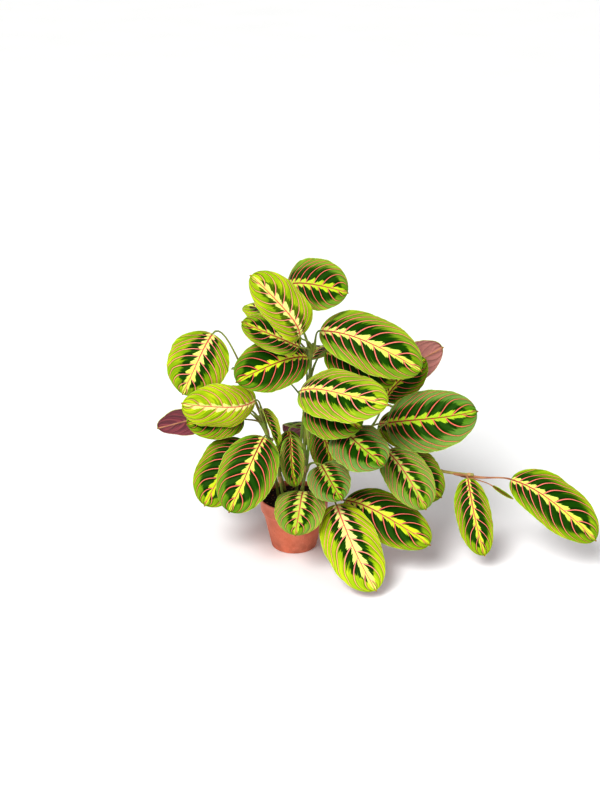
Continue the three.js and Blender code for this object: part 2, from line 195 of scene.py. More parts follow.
def rgb(red, green, blue):
    # 0-255 screen colour to linear
    def linear(part):
        part = part / 255
        return part / 12.92 if part < 0.04045 else ((part + 0.055) / 1.055) ** 2.4
    return (linear(red), linear(green), linear(blue), 1.0)


def newMaterial(name):
    made = bpy.data.materials.new(name)
    made.use_nodes = True
    return made, made.node_tree, made.node_tree.nodes["Principled BSDF"]


def paint(shader, colour, roughness):
    put(shader.inputs["Base Color"], colour)
    put(shader.inputs["Roughness"], roughness)


def bump(shader, height, strength, distance):
    node = newNode("ShaderNodeBump", height)
    node.inputs["Strength"].default_value = strength
    node.inputs["Distance"].default_value = distance
    put(node.inputs["Height"], height)
    put(shader.inputs["Normal"], node.outputs["Normal"])


# Leaf veins: the same layout for the upper side, the underside and the quilting of the mesh

veins = {
    "count": 9.8,
    "lean": 0.08,
    "leanTip": 0.22,
    "sweep": 0.42,  # how far forward a vein reaches the rim
    "first": 0.055,  # where the lowest veins begin
    "hold": 0.8,
    "soften": 0.15,
    "crowding": 0.56,  # below 1, veins stand closer towards the foot
    "width": 0.0069,
    "length": 3.2,
    "sideShift": 0.45,  # veins of the two halves alternate
    "wobble": 0.14,
    "least": 0.0001,  # keeps roots and divisions safe
}


def veinWobble(along, across, seed):
    return veins["wobble"] * noise.noise(Vector((along * 5, across * 1.6, seed * 40)))


def veinStart(along, out):
    # where on the midrib the vein through this place began; veins hook forward near the rim
    lean = veins["lean"] + veins["leanTip"] * along
    sweep = lean * out + (veins["sweep"] - lean) * out ** 4
    share = veins["first"] / (veins["first"] + veins["hold"] * sweep)
    past = along * (1 - share) - sweep
    return along * share + 0.5 * (past + math.sqrt(past ** 2 + (veins["soften"] * sweep) ** 2))


def veinPhase(along, across, seed):
    start = max(veinStart(along, abs(across)), veins["least"])
    side = veins["sideShift"] if across > 0 else 0
    return veins["count"] * start ** veins["crowding"] + side + seed + veinWobble(along, across, seed)


def makeVeinGroup():
    group = bpy.data.node_groups.new("leafVeins", "ShaderNodeTree")
    for name in ("Along", "Across", "Seed", "Wobble"):
        group.interface.new_socket(name, in_out="INPUT", socket_type="NodeSocketFloat")
    for name in ("Out", "Start", "Phase", "Cell", "Near", "Slope"):
        group.interface.new_socket(name, in_out="OUTPUT", socket_type="NodeSocketFloat")
    given = group.nodes.new("NodeGroupInput")
    result = group.nodes.new("NodeGroupOutput")
    side = minus(times(given.outputs["Across"], 2), 1)
    out = calc("ABSOLUTE", side)
    lean = plus(times(given.outputs["Along"], veins["leanTip"]), veins["lean"])
    hook = minus(veins["sweep"], lean)
    sweep = plus(times(out, lean), times(calc("POWER", out, 4), hook))
    delay = plus(times(sweep, veins["hold"]), veins["first"])
    share = calc("DIVIDE", veins["first"], delay)
    slow = times(given.outputs["Along"], share)
    past = minus(minus(given.outputs["Along"], slow), sweep)
    soft = calc("POWER", times(sweep, veins["soften"]), 2)
    root = calc("SQRT", plus(times(past, past), soft))
    start = plus(slow, times(plus(past, root), 0.5))
    held = calc("MAXIMUM", start, veins["least"])
    # how fast the start changes over the blade, so that a vein keeps its width
    steady = calc("MAXIMUM", root, veins["least"])
    ahead = times(plus(calc("DIVIDE", past, steady), 1), 0.5)
    slopeAlong = blendValues(ahead, share, 1.0)
    bend = plus(times(calc("POWER", out, 3), 4, hook), lean)
    late = times(slow, share, veins["hold"] / veins["first"])
    slopeOut = times(bend, blendValues(ahead, late, 1.0), veins["length"])
    slope = calc("SQRT", plus(times(slopeAlong, slopeAlong), times(slopeOut, slopeOut)))
    crowd = times(calc("POWER", held, veins["crowding"]), veins["count"])
    shift = times(calc("GREATER_THAN", side, 0), veins["sideShift"])
    phase = plus(crowd, shift, plus(given.outputs["Seed"], given.outputs["Wobble"]))
    cell = calc("FRACT", phase)
    near = calc("MINIMUM", cell, minus(1, cell))
    for name, value in (("Out", out), ("Start", start), ("Phase", phase), ("Cell", cell),
                        ("Near", near), ("Slope", slope)):
        group.links.new(value, result.inputs[name])
    return group


veinGroup = makeVeinGroup()


def leafCoordinates(tree):
    # the leaf's own map, its tone and its vein layout
    place = tree.nodes.new("ShaderNodeUVMap")
    place.uv_map = "leafMap"
    flat = unpack3(place.outputs[0])
    tones = readAttribute(tree, "leafTone")
    habits = readAttribute(tree, "leafHabit")
    shapes = readAttribute(tree, "leafShape")
    layout = tree.nodes.new("ShaderNodeGroup")
    layout.node_tree = veinGroup
    given = {"Along": flat[0], "Across": flat[1], "Seed": habits[1], "Wobble": shapes[1]}
    for name, value in given.items():
        put(layout.inputs[name], value)
    return {
        "along": flat[0], "across": flat[1], "lime": tones[0], "dark": tones[1], "cream": tones[2],
        "grey": habits[0], "seed": habits[1], "ribDistance": habits[2], "band": shapes[0],
        **{socket.name.lower(): socket for socket in layout.outputs},
    }


def leafCloud(at, first, squeeze, second, squash, third, detail=1.0, roughness=0.5):
    # noise laid out by two of the leaf's coordinates and shifted by a third
    place = pack3(times(at[first], squeeze), times(at[second], squash), at[third])
    return cloud(place, 1.0, detail, roughness)


leafColours = {
    "limeEdge": rgb(208, 218, 38),
    "limeDeep": rgb(132, 172, 10),
    "midGreen": rgb(98, 146, 16),
    "deepGreen": rgb(36, 86, 2),
    "darkRim": rgb(0, 26, 0),
    "darkHeart": rgb(18, 60, 0),
    "greyGreen": rgb(116, 146, 86),
    "cream": rgb(254, 252, 168),
    "limeBand": rgb(200, 218, 44),
    "greenBand": rgb(142, 188, 52),
    "veinPink": rgb(252, 146, 134),
    "veinRed": rgb(232, 104, 96),
    "ribPink": rgb(240, 112, 102),
    "ribRed": rgb(158, 40, 52),
    "rim": rgb(196, 214, 110),
    "dried": rgb(150, 96, 40),
}


leafPattern = {
    "lobes": 0.17,
    "notches": 2.7,
    "notchDepth": 0.28,
    "bandRagged": 0.11,
    "blotchStart": 0.30,
    "blotchReach": 0.46,
    "blotchRagged": {"streak": 0.5, "fringe": 0.34, "patch": 0.36},
    "veinStrength": 0.95,
    "ribWidths": (1.45, 0.6),  # millimetres at the foot and at the tip
    "roughness": 0.34,
    "relief": 0.0012,
}


def makeLeafTop():
    made, tree, shader = newMaterial("leafUpperSide")
    at = leafCoordinates(tree)
    colour = leafColours
    pattern = leafPattern
    ragged = pattern["blotchRagged"]

    grain = leafCloud(at, "along", 120, "across", 90, "seed", 2.0, 0.7)
    # streaks, finer fringes and broad patches run with the veins
    streak = leafCloud(at, "phase", 7, "out", 1.6, "across", 3.0, 0.6)
    fringe = leafCloud(at, "phase", 17, "out", 1.2, "seed")
    patch = leafCloud(at, "phase", 1.3, "out", 2.0, "seed")
    streakSwing = minus(streak, 0.5)
    patchSwing = minus(patch, 0.5)

    # pale band beside the midrib: a saw of lobes, each rising towards the next vein
    rise = calc("POWER", at["cell"], 1.15)
    drop = ease(at["cell"], 0.985, 0.86)
    notch = times(calc("FRACT", times(at["cell"], pattern["notches"])), pattern["notchDepth"])
    lobe = times(plus(rise, notch), drop)
    size = plus(times(at["band"], pattern["lobes"]), times(patch, pattern["lobes"]))
    foot = times(ease(at["along"], 0.10, 0.0), 0.22)
    edge = plus(0.02, times(at["band"], 0.04), times(lobe, size),
                times(streakSwing, pattern["bandRagged"]), foot)
    band = ease(minus(edge, at["out"]), -0.012, 0.016)

    # dark blotches between the veins, with ragged outer ends
    reach = plus(pattern["blotchStart"], times(at["dark"], pattern["blotchReach"]),
                 times(streakSwing, ragged["streak"]), times(minus(fringe, 0.5), ragged["fringe"]),
                 times(patchSwing, ragged["patch"]))
    reach = times(reach, ease(at["along"], 1.0, 0.72))
    softness = plus(0.026, times(calc("POWER", at["dark"], 3), 0.14))
    blotch = ease(calc("DIVIDE", minus(reach, at["out"]), softness), -1.0, 1.0)
    blotch = times(blotch, ease(at["start"], 0.0, 0.03), ease(at["dark"], 0.0, 0.35))

    # outer zone: lime or green, streaked, paler towards the edge
    green = blend(streak, colour["deepGreen"], colour["midGreen"])
    bright = blend(ease(streak, 0.3, 0.75), colour["limeDeep"], colour["limeEdge"])
    limeAmount = calc("ADD", at["lime"], times(patchSwing, 0.9), clamp=True)
    ground = blend(limeAmount, green, bright)
    # painted pleat shading: greener and darker beside the veins as painted shade in the creases, paler
    # along the middle of each pleat as painted light
    paintedPleatShade = times(ease(at["near"], 0.3, 0.06), minus(0.85, times(at["lime"], 0.45)),
                  ease(streak, 0.1, 0.55))
    ground = blend(paintedPleatShade, ground, colour["deepGreen"])
    # grey-green tone, partly painted sheen: greyer outwards and along the middle of each pleat on
    # grey-toned leaves
    greySheenAmount = times(at["grey"], ease(at["out"], 0.25, 0.95), ease(at["near"], -0.12, 0.22))
    ground = blend(greySheenAmount, ground, colour["greyGreen"])
    margin = times(ease(at["out"], 0.72, 1.0), plus(0.16, times(at["lime"], 0.6)))
    ground = blend(margin, ground, bright)

    deep = blend(ease(at["near"], 0.04, 0.36), colour["darkRim"], colour["darkHeart"])
    outwards = plus(times(ease(at["out"], 0.25, 0.8), 0.5), 0.1)
    deep = blend(times(ease(streak, 0.3, 0.7), outwards), deep, colour["deepGreen"])
    ground = blend(blotch, ground, deep)

    fading = times(ease(at["along"], 0.2, 0.95), 0.3)
    creamAmount = calc("SUBTRACT", at["cream"], fading, clamp=True)
    bandGreen = blend(at["grey"], colour["limeBand"], colour["greenBand"])
    bandColour = blend(creamAmount, bandGreen, colour["cream"])
    bandColour = blend(times(streak, 0.3), bandColour, colour["limeBand"])
    ground = blend(band, ground, bandColour)

    # lateral veins, finer and paler outwards
    crowd = calc("POWER", calc("MAXIMUM", at["start"], 0.004), veins["crowding"] - 1)
    taper = minus(1, times(ease(at["out"], 0.3, 1.0), 0.5))
    width = times(crowd, at["slope"], veins["width"] * veins["count"] * veins["crowding"], taper)
    width = calc("MINIMUM", width, 0.3)
    vein = times(ease(at["near"], width, times(width, 0.5)), ease(at["out"], 0.99, 0.90),
                 ease(at["start"], 0.004, 0.012))
    veinColour = blend(ease(at["lime"], 0.1, 0.7), colour["veinRed"], colour["veinPink"])
    ground = blend(times(vein, pattern["veinStrength"]), ground, veinColour)

    # midrib and rim
    ribWidth = blendValues(at["along"], *pattern["ribWidths"])
    rib = ease(at["ribDistance"], ribWidth, times(ribWidth, 0.5))
    paling = ease(plus(at["lime"], times(at["along"], 0.35)), 0.2, 0.85)
    ribColour = blend(paling, colour["ribRed"], colour["ribPink"])
    ground = blend(rib, ground, ribColour)
    ground = blend(times(ease(at["out"], 0.975, 0.995), 0.7), ground, colour["rim"])

    # a few dried nicks along the rim and at the very tip, then the skin's fine grain
    nicks = ease(leafCloud(at, "along", 14, "across", 9, "seed", 3.0), 0.60, 0.68)
    nicks = times(nicks, ease(at["out"], 0.93, 0.985))
    nicks = calc("MAXIMUM", nicks, ease(at["along"], 0.985, 1.0))
    ground = blend(times(nicks, 0.8), ground, colour["dried"])
    shade = times(ease(grain, 0.36, 0.7), plus(0.16, times(at["grey"], 0.22)))
    ground = blend(shade, ground, colour["deepGreen"])
    paint(shader, ground, plus(pattern["roughness"], times(streak, 0.16)))
    shader.inputs["Specular IOR Level"].default_value = 0.1
    shader.inputs["Specular Tint"].default_value = (0.7, 1.0, 0.4, 1.0)

    pillow = ease(at["near"], 0.0, 0.3)
    height = plus(times(pillow, 0.8), times(streak, 0.45), times(grain, 0.25))
    bump(shader, minus(height, times(rib, 0.8)), 0.8, pattern["relief"])
    return made


def makeLeafUnder():
    made, tree, shader = newMaterial("leafUnderside")
    at = leafCoordinates(tree)
    streak = leafCloud(at, "phase", 6, "out", 1.5, "across", 3.0, 0.6)
    # maroon, lighter on the raised streaks and along the raised veins: partly the underside's own colour
    # and partly painted highlight on the relief
    colour = blend(ease(streak, 0.25, 0.8), rgb(84, 24, 40), rgb(142, 58, 70))
    ribs = times(ease(at["near"], 0.10, 0.02), ease(at["start"], 0.004, 0.012))
    colour = blend(times(ribs, 0.6), colour, rgb(170, 84, 86))
    paler = times(ease(at["lime"], 0.5, 1.0), 0.45)
    colour = blend(paler, colour, rgb(206, 150, 130))
    rib = ease(at["ribDistance"], 1.6, 0.8)
    colour = blend(rib, colour, rgb(176, 120, 84))
    colour = blend(ease(at["out"], 0.965, 0.99), colour, rgb(176, 160, 90))
    paint(shader, colour, 0.5)
    height = minus(times(streak, 0.5), times(ease(at["near"], 0.0, 0.3), 0.7))
    bump(shader, plus(height, rib), 0.6, 0.0009)
    return made


def objectPlace(tree):
    return tree.nodes.new("ShaderNodeTexCoord").outputs["Object"]


def makeStalk(name, shaded, sunny, blush):
    made, tree, shader = newMaterial(name)
    place = objectPlace(tree)
    broad = cloud(place, 28, 2.0)
    fine = cloud(place, 320, 3.0)
    colour = blend(ease(broad, 0.35, 0.65), shaded, sunny)
    blushing = times(ease(cloud(place, 46, 2.0), 0.52, 0.7), 0.5)
    colour = blend(blushing, colour, blush)
    colour = blend(times(fine, 0.3), colour, rgb(66, 80, 22))
    paint(shader, colour, plus(0.38, times(fine, 0.2)))
    bump(shader, fine, 0.35, 0.0004)
    return made


def makeDriedSheath():
    made, tree, shader = newMaterial("driedSheath")
    place = objectPlace(tree)
    paint(shader, blend(cloud(place, 120, 3.0), rgb(150, 104, 58), rgb(222, 188, 132)), 0.75)
    bump(shader, cloud(place, 500, 3.0), 0.5, 0.0004)
    return made


def makeTerracotta():
    made, tree, shader = newMaterial("terracottaPlastic")
    place = objectPlace(tree)
    broad = cloud(place, 22, 3.0, 0.6)
    grain = cloud(place, 520, 3.0, 0.7)
    colour = blend(ease(broad, 0.3, 0.7), rgb(196, 104, 74), rgb(216, 130, 102))
    colour = blend(times(ease(grain, 0.35, 0.75), 0.30), colour, rgb(176, 78, 46))
    # darker towards the base, in cloudy patches
    low = times(ease(unpack3(place)[2], 0.034, 0.0), ease(cloud(place, 60, 4.0), 0.3, 0.7), 0.55)
    colour = blend(low, colour, rgb(112, 52, 28))
    # dark smudges
    dust = times(ease(cloud(place, 95, 5.0, 0.7), 0.60, 0.74), 0.35)
    colour = blend(dust, colour, rgb(120, 66, 42))
    paint(shader, colour, plus(0.46, times(grain, 0.2)))
    shader.inputs["Specular IOR Level"].default_value = 0.4
    bump(shader, grain, 0.22, 0.0003)
    return made


def makePeat():
    made, tree, shader = newMaterial("darkPeat")
    place = objectPlace(tree)
    broad = cloud(place, 240, 4.0, 0.7)
    colour = blend(ease(broad, 0.35, 0.7), rgb(20, 13, 9), rgb(58, 38, 26))
    speck = ease(cloud(place, 700, 2.0), 0.66, 0.72)
    colour = blend(speck, colour, rgb(122, 86, 54))
    paint(shader, colour, 0.9)
    bump(shader, cloud(place, 420, 5.0, 0.75), 0.9, 0.0012)
    return made


def makeChips():
    made, tree, shader = newMaterial("barkChips")
    place = objectPlace(tree)
    shade = ease(cloud(place, 160, 2.0), 0.4, 0.6)
    paint(shader, blend(shade, rgb(84, 54, 32), rgb(176, 134, 88)), 0.85)
    bump(shader, cloud(place, 900, 3.0), 0.5, 0.0005)
    return made


def makeFloorPaint():
    made, tree, shader = newMaterial("paleFloor")
    place = objectPlace(tree)
    paint(shader, blend(cloud(place, 3.0, 2.0), rgb(243, 243, 242), rgb(248, 248, 247)), 0.8)
    return made


leafTop = makeLeafTop()
leafUnder = makeLeafUnder()
greenStalk = makeStalk("greenStalk", rgb(104, 132, 36), rgb(150, 166, 60), rgb(132, 78, 44))
runnerStalk = makeStalk("runnerStalk", rgb(146, 146, 62), rgb(190, 176, 96), rgb(150, 96, 56))
reddishStalk = makeStalk("reddishStalk", rgb(150, 92, 58), rgb(184, 124, 84), rgb(132, 64, 50))
driedSheath = makeDriedSheath()
terracotta = makeTerracotta()
peat = makePeat()
chips = makeChips()
print("materials ready")


# Stems: the same lines as the part's source

stemCollar = 77.5
stems = {
    "stem_front_low": {"r0": 2.3, "r1": 1.7, "at": [(17, -28, stemCollar), (24, -34, 98), (36, -42, 112)]},
    "stem_front_mid": {"r0": 2.6, "r1": 1.7,
                       "at": [(8, -10, stemCollar), (18, -10, 130), (21, -13, 180), (14, -18, 236)]},
    "stem_front_left": {"r0": 2.3, "r1": 1.6,
                        "at": [(-15, -13, stemCollar), (-24, -18, 132), (-33, -22, 182)]},
    "stem_right": {"r0": 2.6, "r1": 1.7,
                   "at": [(28, -4, stemCollar), (48, -2, 122), (80, 2, 160), (116, 8, 184)]},
    "stem_centre": {"r0": 2.8, "r1": 1.7,
                    "at": [(3, 12, stemCollar), (8, 14, 140), (14, 18, 200), (22, 20, 262), (28, 20, 318)]},
    "stem_left": {"r0": 2.5, "r1": 1.6, "at": [(-24, 10, stemCollar), (-34, 8, 155), (-46, 6, 218)]},
    "stem_back": {"r0": 2.6, "r1": 1.7, "at": [(14, 30, stemCollar), (17, 42, 155), (20, 58, 240)]},
    "stem_back_left": {"r0": 2.3, "r1": 1.6, "at": [(-14, 28, stemCollar), (-32, 42, 136), (-54, 62, 186)]},
    "runner": {"r0": 2.8, "r1": 2.3, "steps": 44, "sheaths": (0.3, 0.68, 0.93), "skin": runnerStalk,
               "at": [(34, 16, stemCollar), (70, 26, 106), (130, 32, 119), (190, 22, 117),
                      (240, -6, 121), (266, -20, 125)]},
}
plainStem = {
    "foot": 41,
    "steps": 30,
    "slim": 0.94,
    "skin": greenStalk,
    "joints": (0.12, 0.3, 0.5, 0.68, 0.84, 0.97),
    "jointLength": 0.018,
    "jointSwell": 0.16,
    "sheaths": (0.3, 0.68),
    "sheathStep": 2.6,
    "sheathSwell": (-0.2, 0.25, 0.5, 0.55, 0.4, 0.15),
}


def along(points, t):
    # smooth line through the points, t from 0 to 1
    last = len(points) - 1
    f = min(1.0, max(0.0, t)) * last
    i = min(last - 1, int(f))
    k = f - i
    a, b = Vector(points[i]), Vector(points[i + 1])
    before, after = Vector(points[max(0, i - 1)]), Vector(points[min(last, i + 2)])
    slopeA = (b - before) * (0.5 if i > 0 else 1)
    slopeB = (after - a) * (0.5 if i < last - 1 else 1)
    return (a * (2 * k ** 3 - 3 * k ** 2 + 1) + slopeA * (k ** 3 - 2 * k ** 2 + k)
            + b * (3 * k ** 2 - 2 * k ** 3) + slopeB * (k ** 3 - k ** 2))


def heading(points, t):
    # the line's direction
    return (along(points, t + 0.01) - along(points, t - 0.01)).normalized()


def radiusAt(line, t):
    return line["r0"] + (line["r1"] - line["r0"]) * t


def makeTube(name, points, radii, material, roundness=6, smooth=50):
    # a round stalk through the points, in millimetres
    bpy.ops.curve.primitive_bezier_curve_add()
    tube = bpy.context.object
    tube.name = name
    tube.location = (0, 0, 0)
    line = tube.data
    line.splines.clear()
    spline = line.splines.new("POLY")
    spline.points.add(len(points) - 1)
    for point, place, radius in zip(spline.points, points, radii):
        point.co = (*(Vector(place) * mm), 1)
        point.radius = radius * mm
    line.dimensions = "3D"
    line.bevel_depth = 1.0
    line.bevel_resolution = roundness
    line.use_fill_caps = True
    pick(tube)
    bpy.ops.object.convert(target="MESH")
    tube = bpy.context.object
    dress(tube, material)
    smoothBelow(smooth)
    return tube


def makeSheath(stem, joint):
    # a dried leaf base that clasps the stem above a joint
    length = sum((Vector(b) - Vector(a)).length for a, b in zip(stem["at"], stem["at"][1:]))
    points, radii = [], []
    for k, swell in enumerate(stem["sheathSwell"]):
        t = joint + (k * stem["sheathStep"] - 2) / length
        points.append(along(stem["at"], t))
        radii.append(radiusAt(stem, t) + swell)
    return makeTube("sheath", points, radii, driedSheath, 4)


def makeStem(node, stem):
    # straight down into the soil, and up along its line with thickened joints
    x, y, z = stem["at"][0]
    points = [(x, y, stem["foot"]), (x, y, z - 6)]
    radii = [stem["r0"], stem["r0"]]
    for i in range(stem["steps"] + 1):
        t = i / stem["steps"]
        swell = sum(math.exp(-((t - joint) / stem["jointLength"]) ** 2) for joint in stem["joints"])
        points.append(along(stem["at"], t))
        radii.append(radiusAt(stem, t) * (stem["slim"] + stem["jointSwell"] * swell))
    name = "runnerStem" if node == "runner" else camelName(node)
    piece = makeTube(name, points, radii, stem["skin"])
    joinAll(piece, [makeSheath(stem, joint) for joint in stem["sheaths"]])
    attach(piece, "root")
    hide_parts(node)


for node, stem in stems.items():
    makeStem(node, {**plainStem, **stem})
print("stems made")
